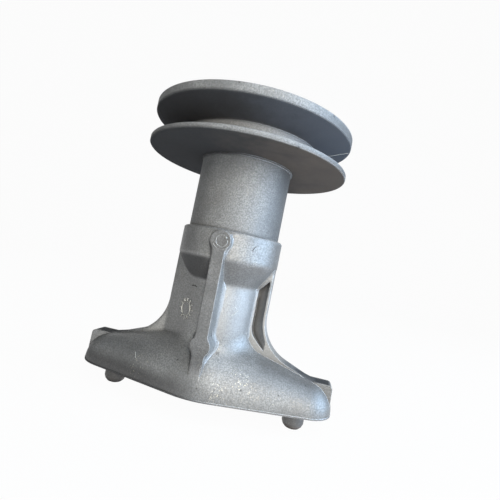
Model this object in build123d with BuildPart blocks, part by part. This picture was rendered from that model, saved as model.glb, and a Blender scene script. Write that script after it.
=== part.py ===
"""Blade hub of a rotary garden mower: one aluminium die casting with a belt pulley, a shank and a foot.

The origin is where the bore's axis meets the blade seat. +Z runs up the bore to the pulley, and X runs
along the two wings of the foot. Sizes are in millimetres. The shank repeats itself at half a turn.
"""
import os
from math import acos, atan2, cos, degrees, hypot, isclose, radians, sin, tan

from build123d import *

os.makedirs("parts", exist_ok=True)

# Shaft bore with its key slot
BORE_RADIUS = 11.1
BORE_CHAMFER = 0.8
KEY_WIDTH = 4.8
KEY_DEPTH = 2.4

# Pulley
RIM_RADIUS = 42.4
LOWER_RIM_THICKNESS = 1.9
UPPER_RIM_THICKNESS = 3.4
GROOVE_MOUTH = 11.6
GROOVE_ROOT_RADIUS = 29.3
GROOVE_ANGLE = 37.0
RIM_BREAK = 0.25

# Neck, collar and core, from the pulley down
NECK_RADIUS = 19.5
NECK_LENGTH = 30.3
NECK_RING_STEP = 0.4
NECK_RING_HEIGHT = 0.7
COLLAR_RADIUS = 21.5
COLLAR_LENGTH = 11.4
COLLAR_BREAK = 0.6
CONE_HEIGHT = 9.7
CONE_ROUND = 2.5
CORE_RADIUS = 15.5
CORE_HEIGHT = 44.0
CORE_FLARE = 9.5

# Foot: a lens turned about X, flat below, with a trimmed lip round its edge
FOOT_HALF_LENGTH = 54.2
FOOT_HALF_WIDTH = 22.8
FOOT_NOSE_RADIUS = 30.0
FOOT_TIP_RADIUS = 12.5
LIP_HEIGHT = 0.6
LIP_WIDTH = 0.12

# Wing plate in the plane of the bore, with an ear at each end
PLATE_THICKNESS = 8.0
PLATE_ROOT_RADIUS = 18.0
WING_SLOPE = 21.4
EAR_HEIGHT = 12.3
EAR_START = 43.2
EAR_END = 52.9
EAR_LEAN = 0.3
EAR_ROUND = 1.6
EAR_ROOT_ROUND = 6.0

# Slanted web on one side of each fin, deep pocket on the other
FIN_HALF_WIDTH = 21.1
WEB_THICKNESS = 5.5
FIN_RIM = 1.0
POCKET_WALL = 16.0
POCKET_ROOF = 48.6
POCKET_SILL = 26.0
POCKET_SILL_ROUND = 7.0
POCKET_END = 22.8
POCKET_TIP = 19.6

# Ejector rib, front and back
RIB_WIDTH = 4.8
RIB_REACH = 23.0
RIB_LEAN = 2.0
RIB_DRAFT = 5.0
PAD_RADIUS = 4.0
PAD_BLEND = 2.5
UPPER_PAD_HEIGHT = 60.4
LOWER_PAD_HEIGHT = 19.8

# Blade pegs
PEG_SPACING = 80.0
PEG_RADIUS = 4.5
PEG_LENGTH = 9.0
PEG_NOSE = 2.0
PEG_NOSE_BREAK = 0.75

# Cored recess under each wing
RECESS_DEPTH = 9.0
RECESS_WALL = 4.5
RECESS_START = 18.0
RECESS_END = 31.0
RECESS_ROUND = 3.0

# Levels up the bore's axis
collar_bottom = CORE_HEIGHT + CONE_HEIGHT
collar_top = collar_bottom + COLLAR_LENGTH
pulley_bottom = collar_top + NECK_LENGTH
groove_bottom = pulley_bottom + LOWER_RIM_THICKNESS
groove_top = groove_bottom + GROOVE_MOUTH
pulley_top = groove_top + UPPER_RIM_THICKNESS
groove_slope = tan(radians(GROOVE_ANGLE / 2))
root_bottom = groove_bottom + (RIM_RADIUS - GROOVE_ROOT_RADIUS) * groove_slope
root_top = groove_top - (RIM_RADIUS - GROOVE_ROOT_RADIUS) * groove_slope

# Side of the foot: the line that touches both the nose circle and the tip circle
nose_center_y = FOOT_HALF_WIDTH - FOOT_NOSE_RADIUS
tip_center_x = FOOT_HALF_LENGTH - FOOT_TIP_RADIUS
center_distance = hypot(tip_center_x, nose_center_y)
side_angle = degrees(
    atan2(-nose_center_y, tip_center_x) + acos((FOOT_NOSE_RADIUS - FOOT_TIP_RADIUS) / center_distance)
)

# Slanted web: a plane that touches the core and ends at the fin's corner
fin_corner_radius = hypot(FIN_HALF_WIDTH, PLATE_THICKNESS / 2)
web_angle = atan2(FIN_HALF_WIDTH, PLATE_THICKNESS / 2) - acos(CORE_RADIUS / fin_corner_radius)
web_normal = Vector(sin(web_angle), cos(web_angle), 0)
fin_top = collar_bottom + CONE_ROUND

# Centre of the round between the fin's upright edge and the sloping wing
wing_slope = radians(WING_SLOPE)
fin_root_x = FIN_HALF_WIDTH + PLATE_ROOT_RADIUS
fin_root_z = EAR_HEIGHT + (PLATE_ROOT_RADIUS - sin(wing_slope) * (fin_root_x - EAR_START)) / cos(wing_slope)


def foot_half_outline():
    """Draw the foot's outline on the +Y side and return its two ends."""
    right_tip = CenterArc((tip_center_x, 0), FOOT_TIP_RADIUS, 0, side_angle)
    nose = CenterArc((0, nose_center_y), FOOT_NOSE_RADIUS, side_angle, 180 - 2 * side_angle)
    left_tip = CenterArc((-tip_center_x, 0), FOOT_TIP_RADIUS, 180 - side_angle, side_angle)
    Line(right_tip @ 1, nose @ 0)
    Line(nose @ 1, left_tip @ 0)
    return left_tip @ 1, right_tip @ 0


def foot_half_width(x):
    """Half width of the foot at a place on its straight side."""
    angle = radians(side_angle)
    return nose_center_y + (FOOT_NOSE_RADIUS - x * cos(angle)) / sin(angle)


# Solid for one slanted web, on the front left of the shank
with BuildPart() as web:
    with BuildSketch(Plane.XY):
        with BuildLine():
            Polyline(
                (0, PLATE_THICKNESS / 2),
                (-FIN_HALF_WIDTH, PLATE_THICKNESS / 2),
                (-FIN_HALF_WIDTH, -PLATE_THICKNESS / 2),
                (-CORE_RADIUS * sin(web_angle), -CORE_RADIUS * cos(web_angle)),
                close=True,
            )
        make_face()
    extrude(amount=fin_top)

# Solid for one ejector rib with its two round pads, on the front
with BuildPart() as rib:
    rib_front = Plane(
        origin=(0, -RIB_REACH, UPPER_PAD_HEIGHT),
        x_dir=(-1, 0, 0),
        z_dir=(0, cos(radians(RIB_LEAN)), sin(radians(RIB_LEAN))),
    )
    with BuildSketch(rib_front) as rib_outline:
        with Locations((0, -UPPER_PAD_HEIGHT / 2)):
            Rectangle(RIB_WIDTH, UPPER_PAD_HEIGHT)
        with Locations((0, 0), (0, LOWER_PAD_HEIGHT - UPPER_PAD_HEIGHT)):
            Circle(PAD_RADIUS)
        pad_corners = rib_outline.vertices().filter_by_position(Axis.Y, -UPPER_PAD_HEIGHT, 0, (False, True))
        fillet(pad_corners, PAD_BLEND)
    extrude(amount=RIB_REACH - BORE_RADIUS, taper=-RIB_DRAFT)

# Space of one deep pocket, on the front right, down to the inner face of the other web
with BuildPart() as pocket:
    with BuildSketch(Plane.XZ) as pocket_outline:
        with BuildLine():
            rim_radius = PLATE_ROOT_RADIUS + FIN_RIM
            rim_turn = degrees(acos((fin_root_x - POCKET_END) / rim_radius))
            rim = CenterArc((fin_root_x, fin_root_z), rim_radius, 180, rim_turn)
            Polyline(
                rim @ 1,
                (POCKET_END, POCKET_TIP),
                (POCKET_WALL, POCKET_SILL),
                (POCKET_WALL, CORE_HEIGHT),
                (FIN_HALF_WIDTH - FIN_RIM, POCKET_ROOF),
                rim @ 0,
            )
        make_face()
        fillet(pocket_outline.vertices().sort_by_distance((POCKET_WALL, POCKET_SILL))[0], POCKET_SILL_ROUND)
    extrude(amount=FOOT_HALF_WIDTH, both=True)
    web_inner_face = Plane(origin=web_normal * (CORE_RADIUS - WEB_THICKNESS), z_dir=web_normal)
    split(bisect_by=web_inner_face, keep=Keep.BOTTOM)

with BuildPart() as blade_hub:
    # Pulley, neck, collar, cone and core, turned about the bore's axis
    with BuildSketch(Plane.XZ) as turned:
        with BuildLine():
            Polyline(
                (0, 0),
                (CORE_RADIUS, 0),
                (CORE_RADIUS, CORE_HEIGHT),
                (COLLAR_RADIUS, collar_bottom),
                (COLLAR_RADIUS, collar_top),
                (NECK_RADIUS, collar_top),
                (NECK_RADIUS, pulley_bottom - NECK_RING_HEIGHT),
                (NECK_RADIUS + NECK_RING_STEP, pulley_bottom - NECK_RING_HEIGHT),
                (NECK_RADIUS + NECK_RING_STEP, pulley_bottom),
                (RIM_RADIUS, pulley_bottom),
                (RIM_RADIUS, groove_bottom),
                (GROOVE_ROOT_RADIUS, root_bottom),
                (GROOVE_ROOT_RADIUS, root_top),
                (RIM_RADIUS, groove_top),
                (RIM_RADIUS, pulley_top),
                (0, pulley_top),
                close=True,
            )
        make_face()
        chamfer(turned.vertices().sort_by_distance((COLLAR_RADIUS, collar_top))[0], COLLAR_BREAK)
        fillet(turned.vertices().sort_by_distance((COLLAR_RADIUS, collar_bottom))[0], CONE_ROUND)
        fillet(turned.vertices().sort_by_distance((CORE_RADIUS, CORE_HEIGHT))[0], CONE_ROUND)
        rim_corners = turned.vertices().filter_by(lambda corner: corner.X > GROOVE_ROOT_RADIUS + RIM_BREAK)
        chamfer(rim_corners, RIM_BREAK)
    revolve(axis=Axis.Z)

    # Trimmed lip round the foot's lower edge
    with BuildSketch(Plane.XY):
        with BuildLine():
            foot_half_outline()
            mirror(about=Plane.XZ)
        make_face()
        offset(amount=LIP_WIDTH)
    extrude(amount=LIP_HEIGHT)

    # Foot on its lip, flared up into the core
    with BuildSketch(Plane.XY.offset(LIP_HEIGHT)):
        with BuildLine():
            foot_ends = foot_half_outline()
            Line(*foot_ends)
        make_face()
    revolve(axis=Axis((0, 0, LIP_HEIGHT), (1, 0, 0)), revolution_arc=180)
    round_walls = blade_hub.faces().filter_by(GeomType.CYLINDER)
    core_wall = round_walls.filter_by(lambda wall: isclose(wall.radius, CORE_RADIUS))
    core_edges = core_wall.edges().filter_by(GeomType.LINE, reverse=True)
    fillet(core_edges.filter_by_position(Axis.Z, 0, FOOT_HALF_WIDTH), CORE_FLARE)

    # Wing plate with the fins above it and an ear at each end
    with BuildSketch(Plane.XZ) as plate:
        with BuildLine():
            root = CenterArc((fin_root_x, fin_root_z), PLATE_ROOT_RADIUS, 180, 90 - WING_SLOPE)
            Polyline(
                root @ 1,
                (EAR_START, EAR_HEIGHT),
                (EAR_END, EAR_HEIGHT),
                (EAR_END + EAR_LEAN, 0),
                (0, 0),
                (0, fin_top),
                (FIN_HALF_WIDTH, fin_top),
                root @ 0,
            )
        make_face()
        fillet(plate.vertices().sort_by_distance((EAR_END, EAR_HEIGHT))[0], EAR_ROUND)
        fillet(plate.vertices().sort_by_distance((EAR_START, EAR_HEIGHT))[0], EAR_ROOT_ROUND)
        mirror(about=Plane.YZ)
    extrude(amount=PLATE_THICKNESS / 2, both=True)

    # Webs, ribs and pockets, each repeated at half a turn
    with PolarLocations(0, 2):
        add(web.part)
        add(rib.part)
    with PolarLocations(0, 2):
        add(pocket.part, mode=Mode.SUBTRACT)

    # Recess under each wing
    with BuildSketch(Plane.XY) as recess:
        wall_run = RECESS_WALL / sin(radians(side_angle))
        start_y = foot_half_width(RECESS_START) - wall_run
        end_y = foot_half_width(RECESS_END) - wall_run
        with BuildLine():
            Polyline(
                (RECESS_START, -start_y),
                (RECESS_END, -end_y),
                (RECESS_END, end_y),
                (RECESS_START, start_y),
                close=True,
            )
        make_face()
        fillet(recess.vertices(), RECESS_ROUND)
        mirror(about=Plane.YZ)
    extrude(amount=RECESS_DEPTH, mode=Mode.SUBTRACT)

    # Pegs that hold the blade square
    with BuildSketch(Plane.XY):
        with PolarLocations(PEG_SPACING / 2, 2):
            Circle(PEG_RADIUS)
    extrude(amount=-PEG_LENGTH)
    chamfer(blade_hub.edges().group_by(Axis.Z)[0], PEG_NOSE)
    nose_edges = blade_hub.edges().filter_by(GeomType.CIRCLE).group_by(Axis.Z)
    chamfer(nose_edges[0] + nose_edges[1], PEG_NOSE_BREAK)

    # Bore, key slot and the lead-in cone at the bore's upper mouth
    with BuildSketch(Plane.XY):
        Circle(BORE_RADIUS)
        with Locations((0, BORE_RADIUS)):
            Rectangle(KEY_WIDTH, 2 * KEY_DEPTH)
    extrude(amount=pulley_top, mode=Mode.SUBTRACT)
    with Locations((0, 0, pulley_top - BORE_CHAMFER / 2)):
        Cone(BORE_RADIUS, BORE_RADIUS + BORE_CHAMFER, BORE_CHAMFER, mode=Mode.SUBTRACT)

blade_hub.part.label = "blade_hub"
export_step(blade_hub.part, "parts/blade_hub.step")
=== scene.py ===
"""Blade hub of a rotary mower, photographed in a plain white studio.

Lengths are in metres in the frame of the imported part: Z runs up the bore to the pulley, X runs along the
wings of the foot, and the seat of the blade lies at Z = 0. The camera stands on the -Y side. Places on the
casting's skin are given in millimetres, where a class says so.
"""

import logging
from collections.abc import Sequence
from dataclasses import dataclass, field
from enum import Enum
from math import cos, pi, radians, sin

import bpy
from mathutils import Matrix, Vector


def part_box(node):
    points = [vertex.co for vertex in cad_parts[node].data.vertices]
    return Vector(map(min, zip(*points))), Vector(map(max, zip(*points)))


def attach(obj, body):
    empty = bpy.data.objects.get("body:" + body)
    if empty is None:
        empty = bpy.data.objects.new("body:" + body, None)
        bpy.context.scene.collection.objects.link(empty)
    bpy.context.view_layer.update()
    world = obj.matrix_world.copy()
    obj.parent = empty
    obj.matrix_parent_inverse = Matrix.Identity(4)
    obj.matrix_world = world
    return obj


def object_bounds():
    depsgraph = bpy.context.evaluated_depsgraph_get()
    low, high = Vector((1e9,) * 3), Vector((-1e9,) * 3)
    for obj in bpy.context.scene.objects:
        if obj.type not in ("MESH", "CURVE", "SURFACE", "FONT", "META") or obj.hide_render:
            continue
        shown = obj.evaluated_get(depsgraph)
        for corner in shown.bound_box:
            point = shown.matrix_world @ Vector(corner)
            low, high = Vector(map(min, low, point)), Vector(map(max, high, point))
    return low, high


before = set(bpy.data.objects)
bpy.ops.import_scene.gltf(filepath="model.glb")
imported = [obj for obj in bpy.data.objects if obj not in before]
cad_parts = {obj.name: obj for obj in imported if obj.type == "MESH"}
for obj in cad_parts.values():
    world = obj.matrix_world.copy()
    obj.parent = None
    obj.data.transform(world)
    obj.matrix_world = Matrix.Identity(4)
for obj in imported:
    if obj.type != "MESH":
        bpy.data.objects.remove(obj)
CAD_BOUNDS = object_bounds()

LOG = logging.getLogger("blade_hub")
MM = 0.001
HUB = "blade_hub"
BODY = "root"

# Ways in the part's frame: up the bore, and from the camera's side into the casting.
UP = Vector((0.0, 0.0, 1.0))
INTO = Vector((0.0, 1.0, 0.0))

Colour = tuple[float, float, float]
Place = tuple[float, float, float]
Feed = bpy.types.NodeSocket | float | Colour | Vector
Faces = list[tuple[int, ...]]
Form = tuple[list[Vector], Faces]


class Ray(Enum):
    """Outputs of the Light Path node that see the white background."""

    CAMERA = "Is Camera Ray"
    GLOSSY = "Is Glossy Ray"
    TRANSMISSION = "Is Transmission Ray"


class Mix(Enum):
    """Kinds of data that a Mix node blends, with the numbers of its two inputs and of its output."""

    VECTOR = (4, 5, 1)
    RGBA = (6, 7, 2)


@dataclass(frozen=True)
class Ramp:
    """A smooth step from one value to another.

    Args:
        low: Reading that gives start.
        high: Reading that gives end; it may lie below low.
        start: Result at low and before it.
        end: Result at high and past it.
    """

    low: float
    high: float
    start: float = 0.0
    end: float = 1.0


class Graph:
    """Adds nodes to one node tree and wires them together."""

    def __init__(self, tree: bpy.types.NodeTree) -> None:
        """Start with an empty tree."""
        self.tree = tree
        tree.nodes.clear()

    def add(
        self, kind: str, feeds: dict[str | int, Feed] | None = None, **settings: object
    ) -> bpy.types.Node:
        """Add a node.

        Args:
            kind: Blender's name for the kind of node.
            feeds: What goes into its inputs, by name or number: sockets or plain values.
            settings: Values of the node's own properties.

        Returns:
            The new node.
        """
        node = self.tree.nodes.new(kind)
        for name, value in settings.items():
            setattr(node, name, value)
        for key, value in (feeds or {}).items():
            self.feed(node.inputs[key], value)
        return node

    def feed(self, socket: bpy.types.NodeSocket, value: Feed) -> None:
        """Put a link or a plain value into one input.

        Args:
            socket: The input.
            value: An output socket to link from, or a number, colour or vector to set.
        """
        if isinstance(value, bpy.types.NodeSocket):
            self.tree.links.new(value, socket)
        elif socket.type == "RGBA":
            socket.default_value = (*value, 1.0)
        else:
            socket.default_value = value

    def math(
        self, operation: str, first: Feed, second: Feed = 0.0, clamp: bool = False
    ) -> bpy.types.NodeSocket:
        """Add a Math node that does one sum, and clamps its result to 0 and 1 where it is told to."""
        feeds = {0: first, 1: second}
        return self.add("ShaderNodeMath", feeds, operation=operation, use_clamp=clamp).outputs[0]

    def times(self, first: Feed, *others: Feed) -> Feed:
        """Multiply values.

        Args:
            first: The first value.
            others: Those to multiply it by.

        Returns:
            The product.
        """
        for other in others:
            first = self.math("MULTIPLY", first, other)
        return first

    def largest(self, first: Feed, *others: Feed) -> Feed:
        """Take the largest of several values.

        Args:
            first: The first value.
            others: Those to compare it with.

        Returns:
            The largest one.
        """
        for other in others:
            first = self.math("MAXIMUM", first, other)
        return first

    def span(self, value: Feed, ramp: Ramp) -> bpy.types.NodeSocket:
        """Carry a value smoothly from one range to another, both given by the ramp."""
        feeds = {
            "Value": value,
            "From Min": ramp.low,
            "From Max": ramp.high,
            "To Min": ramp.start,
            "To Max": ramp.end,
        }
        return self.add("ShaderNodeMapRange", feeds, interpolation_type="SMOOTHSTEP").outputs["Result"]

    def blend(
        self, factor: Feed, first: Feed, second: Feed, kind: Mix = Mix.RGBA
    ) -> bpy.types.NodeSocket:
        """Blend two colours or vectors.

        Args:
            factor: Share of the second one.
            first: The one below.
            second: The one on top.
            kind: Which of the two they are.

        Returns:
            The blended one.
        """
        below, above, result = kind.value
        feeds = {0: factor, below: first, above: second}
        return self.add("ShaderNodeMix", feeds, data_type=kind.name).outputs[result]

    def split(self, vector: Feed) -> bpy.types.NodeOutputs:
        """Split a vector into its X, Y and Z."""
        return self.add("ShaderNodeSeparateXYZ", {"Vector": vector}).outputs

    def noise(
        self, where: Feed, scale: Feed, detail: float = 2.0, roughness: float = 0.5
    ) -> bpy.types.NodeSocket:
        """Add a noise texture that swings about 0.5; its scale is in waves per metre."""
        feeds = {"Vector": where, "Scale": scale, "Detail": detail, "Roughness": roughness}
        return self.add("ShaderNodeTexNoise", feeds).outputs["Fac"]


class Effect:
    """A shader node group that the finishes share."""

    def __init__(self, name: str, inputs: dict[str, float | Vector], outputs: dict[str, str]) -> None:
        """Make the group and its sockets.

        Args:
            name: Name of the group.
            inputs: Its inputs with what they start at.
            outputs: Its outputs with their kind of socket.
        """
        self.group = bpy.data.node_groups.new(name, "ShaderNodeTree")
        self.graph = Graph(self.group)
        for label, value in inputs.items():
            kind = "NodeSocketVector" if isinstance(value, Vector) else "NodeSocketFloat"
            socket = self.group.interface.new_socket(label, in_out="INPUT", socket_type=kind)
            socket.default_value = value
        for label, kind in outputs.items():
            self.group.interface.new_socket(label, in_out="OUTPUT", socket_type=kind)
        self.given = self.graph.add("NodeGroupInput").outputs
        self.result = self.graph.add("NodeGroupOutput")

    def give(self, feeds: dict[str, Feed]) -> None:
        """Wire the group's outputs."""
        for label, value in feeds.items():
            self.graph.feed(self.result.inputs[label], value)

    def use(self, graph: Graph, feeds: dict[str, Feed]) -> bpy.types.NodeOutputs:
        """Place the group in a material's graph, feed its inputs and return its outputs."""
        return graph.add("ShaderNodeGroup", feeds, node_tree=self.group).outputs


class CastGrain(Effect):
    """Grain of a blasted casting: height, bright specks, small dark pores and a soft mottle."""

    LABELS = ("Height", "Speck", "Pore", "Mottle")
    CELLS_PER_GRAIN = 1.3
    CELL_CENTRE = Ramp(0.55, 0.1)
    SPECK_CHOICE = Ramp(0.78, 0.96)
    PORE_CHOICE = Ramp(0.93, 1.0)

    def __init__(self) -> None:
        """Build the group."""
        inputs = {"Grain Scale": 1500.0, "Mottle Scale": 90.0}
        super().__init__("cast_grain", inputs, dict.fromkeys(self.LABELS, "NodeSocketFloat"))
        graph = self.graph
        where = graph.add("ShaderNodeTexCoord").outputs["Object"]
        finer = graph.times(self.given["Grain Scale"], self.CELLS_PER_GRAIN)
        cells = graph.add("ShaderNodeTexVoronoi", {"Vector": where, "Scale": finer}).outputs
        pick = graph.add("ShaderNodeSeparateColor", {"Color": cells["Color"]}).outputs
        centre = graph.span(cells["Distance"], self.CELL_CENTRE)
        self.give(
            {
                "Height": graph.noise(where, self.given["Grain Scale"], detail=3.0, roughness=0.65),
                "Speck": graph.times(graph.span(pick["Red"], self.SPECK_CHOICE), centre),
                "Pore": graph.times(graph.span(pick["Green"], self.PORE_CHOICE), centre),
                "Mottle": graph.noise(where, self.given["Mottle Scale"], detail=4.0, roughness=0.6),
            }
        )


class SoftEdge(Effect):
    """Rounded casting edges: a softened normal, and masks of the edges turned right, for rubbed wear with a
    painted highlight, and of those turned left, for painted shade.
    """

    OUTPUTS = {"Normal": "NodeSocketVector", "RubbedLitEdge": "NodeSocketFloat", "LeeShade": "NodeSocketFloat"}
    EDGE = Ramp(0.985, 0.85)
    TO_THE_RIGHT = Ramp(-0.15, 0.3)
    TO_THE_LEFT = Ramp(-0.15, -0.45)
    SAMPLES = 6

    def __init__(self) -> None:
        """Build the group."""
        super().__init__("soft_edge", {"Radius": 0.5 * MM}, self.OUTPUTS)
        graph = self.graph
        bevel = graph.add("ShaderNodeBevel", {"Radius": self.given["Radius"]}, samples=self.SAMPLES)
        soft = bevel.outputs["Normal"]
        hard = graph.add("ShaderNodeNewGeometry").outputs["Normal"]
        turn = graph.add("ShaderNodeVectorMath", {0: soft, 1: hard}, operation="DOT_PRODUCT")
        edge = graph.span(turn.outputs["Value"], self.EDGE)
        lean = graph.split(soft)["X"]
        self.give(
            {
                "Normal": soft,
                # edges turned right: rubbed wear with a painted highlight; edges turned left: painted shade
                "RubbedLitEdge": graph.times(edge, graph.span(lean, self.TO_THE_RIGHT)),
                "LeeShade": graph.times(edge, graph.span(lean, self.TO_THE_LEFT)),
            }
        )


class ResidueShadeAndLight(Effect):
    """Masks of painted shade and painted light, of dust and of dull metal: corners, hollows, level faces,
    faces turned aside and places of its own.
    """

    LABELS = (
        "CornerShade",
        "DustAndShade",
        "BelowShade",
        "AboveShade",
        "WarmBounce",
        "LowShade",
        "ShelterShade",
        "Upper",
        "RibShade",
        "CoreLight",
        "Waist",
        "Side",
        "PlateLight",
        "Groove",
    )
    CORNER_SAMPLES = 8
    HOLLOW_SAMPLES = 6

    # Open share of the sky in a corner, darkened as painted shade, and in a deep hollow, which takes dust and
    # painted shade.
    CORNER = Ramp(0.92, 0.4)
    HOLLOW = Ramp(0.55, 0.25)

    # How far a face is turned down, up, to the right or to the left.
    BELOW = Ramp(-0.2, -0.92)
    ABOVE = Ramp(0.88, 0.98)
    SHELTER_DOWN = Ramp(-0.25, -0.5)
    SHELTER_LEFT = Ramp(0.1, -0.3)
    NECK_RIGHT = Ramp(0.5, 1.0, 0.0, 1.65)
    PAD_RIGHT = Ramp(0.75, 0.98)
    LEFT = Ramp(-0.3, -0.65, 0.0, 0.7)
    RIB_FRONT = Ramp(-0.97, -0.995)
    PLATE_FRONT = Ramp(-0.9, -0.98)

    # Heights at which each mask begins and ends.
    PEG_HEIGHT = Ramp(-0.1 * MM, -1.0 * MM, 0.0, 0.6)
    FOOT_HEIGHT = Ramp(8 * MM, 3 * MM)
    WING_HEIGHT = Ramp(22 * MM, 15 * MM)
    ABOVE_HEIGHT = Ramp(30 * MM, 20 * MM)
    RIB_START = Ramp(7.5 * MM, 14 * MM)
    RIB_FOOT = Ramp(24 * MM, 16 * MM, 1.0, 2.1)
    RIB_END = Ramp(65 * MM, 64 * MM)
    ROOT_START = Ramp(13 * MM, 15 * MM)
    ROOT_END = Ramp(30 * MM, 26 * MM)
    CORE_START = Ramp(21 * MM, 29 * MM)
    CORE_END = Ramp(45 * MM, 43 * MM)
    WAIST_START = Ramp(40 * MM, 42 * MM)
    WAIST_END = Ramp(61 * MM, 58 * MM)
    PAD_HEIGHT = Ramp(50 * MM, 54 * MM)
    NECK_HEIGHT = Ramp(63 * MM, 66 * MM)
    GROOVE_HEIGHT = Ramp(97 * MM, 101 * MM)

    # Places along the wings and across them.
    FOOT_LENGTH = Ramp(25 * MM, -22 * MM)
    WING_RIGHT = Ramp(4 * MM, 28 * MM, 0.0, 0.42)
    WING_LEFT = Ramp(-6 * MM, -30 * MM, 0.0, 0.25)
    CORE_RIGHT = Ramp(3 * MM, 4 * MM)
    ROOT_LEFT = Ramp(-4 * MM, -6 * MM)
    BEHIND_RIB = Ramp(-22.2 * MM, -21.8 * MM)
    PLATE_Y = -4 * MM
    PLATE_GAP = Ramp(0.3 * MM, 0.1 * MM)
    PLATE_ENDS = Ramp(26 * MM, 38 * MM, 1.0, 0.0)
    # Strength of the painted plate light, weaker at -X and stronger at +X.
    PLATE_TINT = Ramp(-10 * MM, 10 * MM, 0.1, 0.24)
    # Along the wings, the undersides' painted warm bounce light grows from -X to +X.
    WARM_BOUNCE_LENGTH = Ramp(-12 * MM, 36 * MM)
    CLOUD_SCALE = 60.0
    CLOUD = Ramp(0.3, 0.7, -8 * MM, 8 * MM)

    def __init__(self) -> None:
        """Build the group."""
        inputs = {"Reach": 2 * MM, "Depth": 12 * MM, "Facing": UP}
        super().__init__("residue_shade_and_light", inputs, dict.fromkeys(self.LABELS, "NodeSocketFloat"))
        coordinates = self.graph.add("ShaderNodeTexCoord").outputs
        self.where = coordinates["Object"]
        self.place = self.graph.split(self.where)
        self.facing = self.graph.split(self.given["Facing"])
        self.front = self.graph.split(coordinates["Normal"])["Y"]
        self.give({**self._hollows(), **self._level_faces(), **self._walls(), **self._sides()})

    def _between(self, start: Ramp, end: Ramp) -> Feed:
        """Mark the heights from one ramp to another."""
        height = self.place["Z"]
        return self.graph.times(self.graph.span(height, start), self.graph.span(height, end))

    def _open_sky(self, distance: Feed, samples: int) -> bpy.types.NodeSocket:
        """Measure how open each place is, within a distance."""
        node = self.graph.add("ShaderNodeAmbientOcclusion", {"Distance": distance}, samples=samples)
        return node.outputs["AO"]

    def _hollows(self) -> dict[str, Feed]:
        """Mark corners for painted shade, hollows for dust and painted shade, the foot's lower edge and the
        pegs for painted shade, and the belt groove.

        Returns:
            The masks by the name of their output.
        """
        graph, place = self.graph, self.place
        band = graph.times(graph.span(place["Z"], self.FOOT_HEIGHT), graph.span(place["X"], self.FOOT_LENGTH))
        return {
            "CornerShade": graph.span(self._open_sky(self.given["Reach"], self.CORNER_SAMPLES), self.CORNER),
            "DustAndShade": graph.span(self._open_sky(self.given["Depth"], self.HOLLOW_SAMPLES), self.HOLLOW),
            "LowShade": graph.largest(band, graph.span(place["Z"], self.PEG_HEIGHT)),
            "Groove": graph.span(place["Z"], self.GROOVE_HEIGHT),
        }

    def _level_faces(self) -> dict[str, Feed]:
        """Mark the faces that look down or up and the downward ones turned left, all for painted shade, and
        how far towards +X the undersides take painted warm bounce light.

        Returns:
            The masks by the name of their output.
        """
        graph, place, facing = self.graph, self.place, self.facing
        cloud = graph.noise(self.where, self.CLOUD_SCALE, detail=4.0, roughness=0.6)
        shifted = graph.math("ADD", place["X"], graph.span(cloud, self.CLOUD))
        low = graph.span(place["Z"], self.ABOVE_HEIGHT)
        down = graph.span(facing["Z"], self.SHELTER_DOWN)
        return {
            "BelowShade": graph.span(facing["Z"], self.BELOW),
            "AboveShade": graph.times(graph.span(facing["Z"], self.ABOVE), low),
            "WarmBounce": graph.span(shifted, self.WARM_BOUNCE_LENGTH),
            "ShelterShade": graph.times(down, graph.span(facing["X"], self.SHELTER_LEFT)),
        }

    def _walls(self) -> dict[str, Feed]:
        """Mark the rib's front for painted shade, the wings' plate and the core for painted light, the waist
        and all above it.

        Returns:
            The masks by the name of their output.
        """
        graph, place = self.graph, self.place
        rib = graph.times(graph.span(self.front, self.RIB_FRONT), graph.span(place["Z"], self.RIB_END))
        gap = graph.math("ABSOLUTE", graph.math("SUBTRACT", place["Y"], self.PLATE_Y))
        plate = graph.times(graph.span(self.front, self.PLATE_FRONT), graph.span(gap, self.PLATE_GAP))
        ends = graph.span(graph.math("ABSOLUTE", place["X"]), self.PLATE_ENDS)
        bare_rib = graph.math("SUBTRACT", rib, plate, True)
        root = self._between(self.ROOT_START, self.ROOT_END)
        root = graph.times(root, graph.span(place["X"], self.ROOT_LEFT))
        waist = graph.largest(self._between(self.WAIST_START, self.WAIST_END), root)
        core = self._between(self.CORE_START, self.CORE_END)
        return {
            "RibShade": graph.times(bare_rib, self._between(self.RIB_FOOT, self.RIB_START)),
            "PlateLight": graph.times(plate, ends, graph.span(place["X"], self.PLATE_TINT)),
            "CoreLight": graph.times(core, graph.span(place["X"], self.CORE_RIGHT)),
            "Waist": graph.times(waist, graph.span(place["Y"], self.BEHIND_RIB)),
            "Upper": graph.span(place["Z"], self.NECK_HEIGHT),
        }

    def _sides(self) -> dict[str, Feed]:
        """Mark the walls that are turned aside, and the wings towards their ends, for painted shade.

        Returns:
            The mask by the name of its output.
        """
        graph, place, facing = self.graph, self.place, self.facing
        left = graph.span(facing["X"], self.LEFT)
        pad = graph.times(graph.span(facing["X"], self.PAD_RIGHT), graph.span(place["Z"], self.PAD_HEIGHT))
        neck = graph.times(graph.span(facing["X"], self.NECK_RIGHT), graph.span(place["Z"], self.NECK_HEIGHT))
        wings = graph.largest(graph.span(place["X"], self.WING_RIGHT), graph.span(place["X"], self.WING_LEFT))
        wings = graph.times(wings, graph.span(place["Z"], self.WING_HEIGHT))
        return {"Side": graph.largest(left, pad, neck, wings)}


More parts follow.
